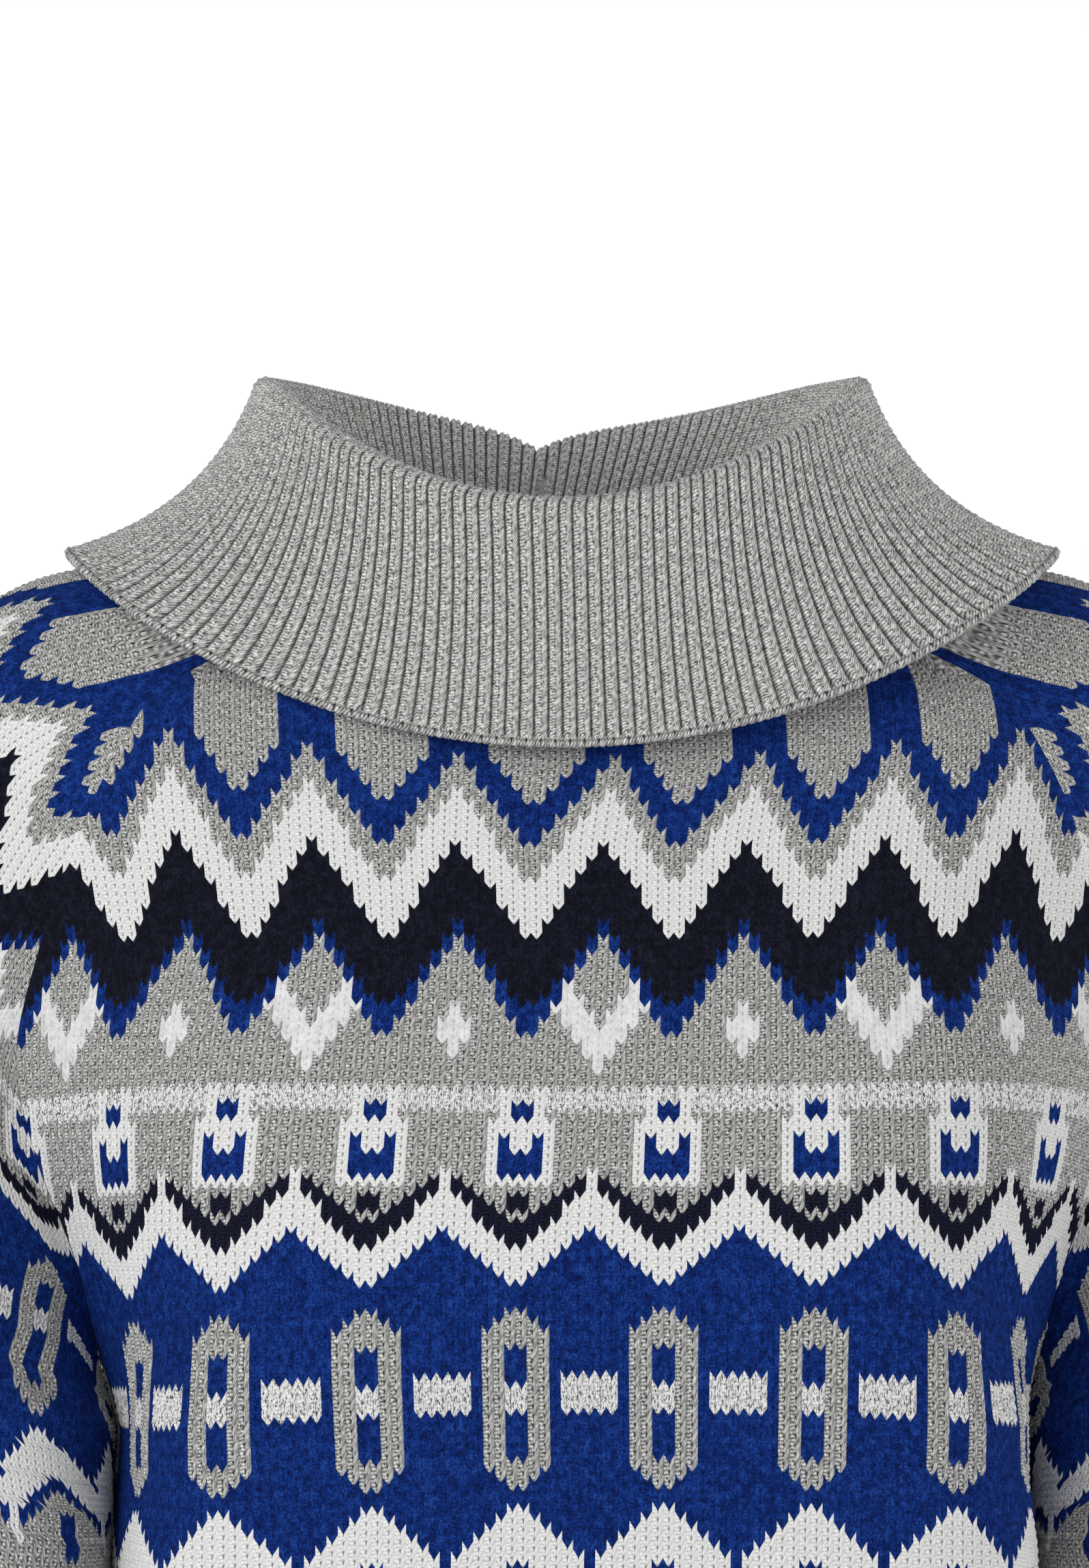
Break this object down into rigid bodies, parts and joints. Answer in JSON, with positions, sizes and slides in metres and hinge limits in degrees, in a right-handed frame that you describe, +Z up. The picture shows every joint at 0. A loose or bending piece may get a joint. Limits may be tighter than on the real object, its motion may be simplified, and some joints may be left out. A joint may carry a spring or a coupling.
{
  "type": "nordic yoke sweater",
  "caption": "Knitted raglan sweater in a bold geometric jacquard, with a wide folded ribbed collar, long sleeves, ribbed cuffs and a ribbed hem.",
  "frame": {"origin": "middle of the neck opening, level with the shoulder line, where a hanger or stand holds the sweater", "axes": "+Z up towards the collar, -Y out of the front, +X towards the wearer's left sleeve"},
  "size_m": [0.6086, 0.2724, 0.764],
  "materials": {
    "front_jacquard": "felted wool-blend jacquard knit",
    "back_jacquard": "felted wool-blend jacquard knit",
    "sleeve_jacquard_left": "felted wool-blend jacquard knit",
    "sleeve_jacquard_right": "felted wool-blend jacquard knit",
    "cuff_rib_left": "ribbed mouline wool-blend knit",
    "cuff_rib_right": "ribbed mouline wool-blend knit",
    "front_hem_rib": "ribbed mouline wool-blend knit",
    "back_hem_rib": "ribbed mouline wool-blend knit",
    "collar_rib": "ribbed mouline wool-blend knit"
  },
  "bodies": {
    "root": {"front": "front_jacquard", "back": "back_jacquard", "sleeve_left": "sleeve_jacquard_left", "sleeve_right": "sleeve_jacquard_right", "cuff_left": "cuff_rib_left", "cuff_right": "cuff_rib_right", "hem_rib_front": "front_hem_rib", "hem_rib_back": "back_hem_rib", "collar": "collar_rib"}
  },
  "joints": []
}
